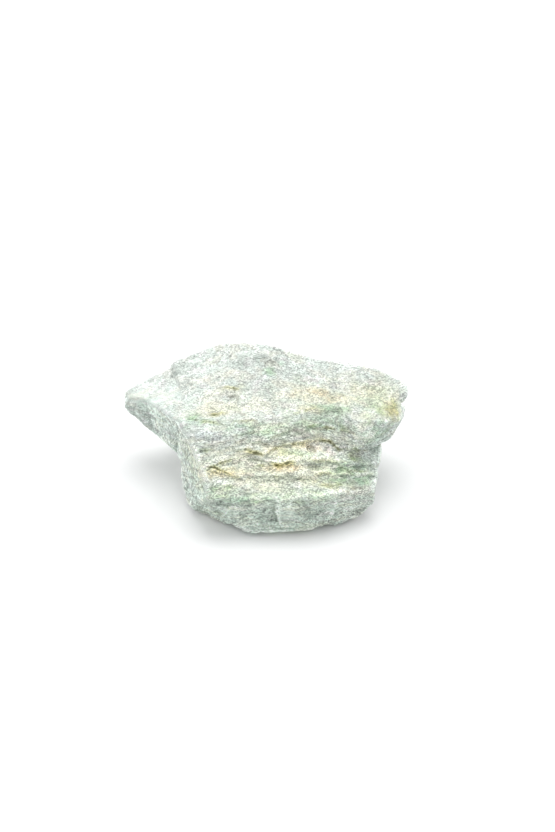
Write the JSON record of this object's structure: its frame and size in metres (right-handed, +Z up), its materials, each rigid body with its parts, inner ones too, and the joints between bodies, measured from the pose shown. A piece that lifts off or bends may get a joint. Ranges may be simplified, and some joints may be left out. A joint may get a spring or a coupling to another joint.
{
  "type": "raw fuchsite stone",
  "caption": "Rough broken block of pale green mica schist with a sloping top, a thin overhanging wing, stepped front ledges and a flat foot to rest on.",
  "frame": {"origin": "under the middle of the bounding box, on the plane of the flat foot", "axes": "+X from the thin left wing to the right lobe, +Y from the stepped front break to the back, +Z up from the foot"},
  "size_m": [0.0894, 0.0556, 0.0363],
  "materials": {
    "fuchsite": "rough sugary break, pale mint green with white quartz, grey-green mica bands and ochre stains"
  },
  "bodies": {
    "root": {"fuchsite_stone": "fuchsite"}
  },
  "joints": []
}
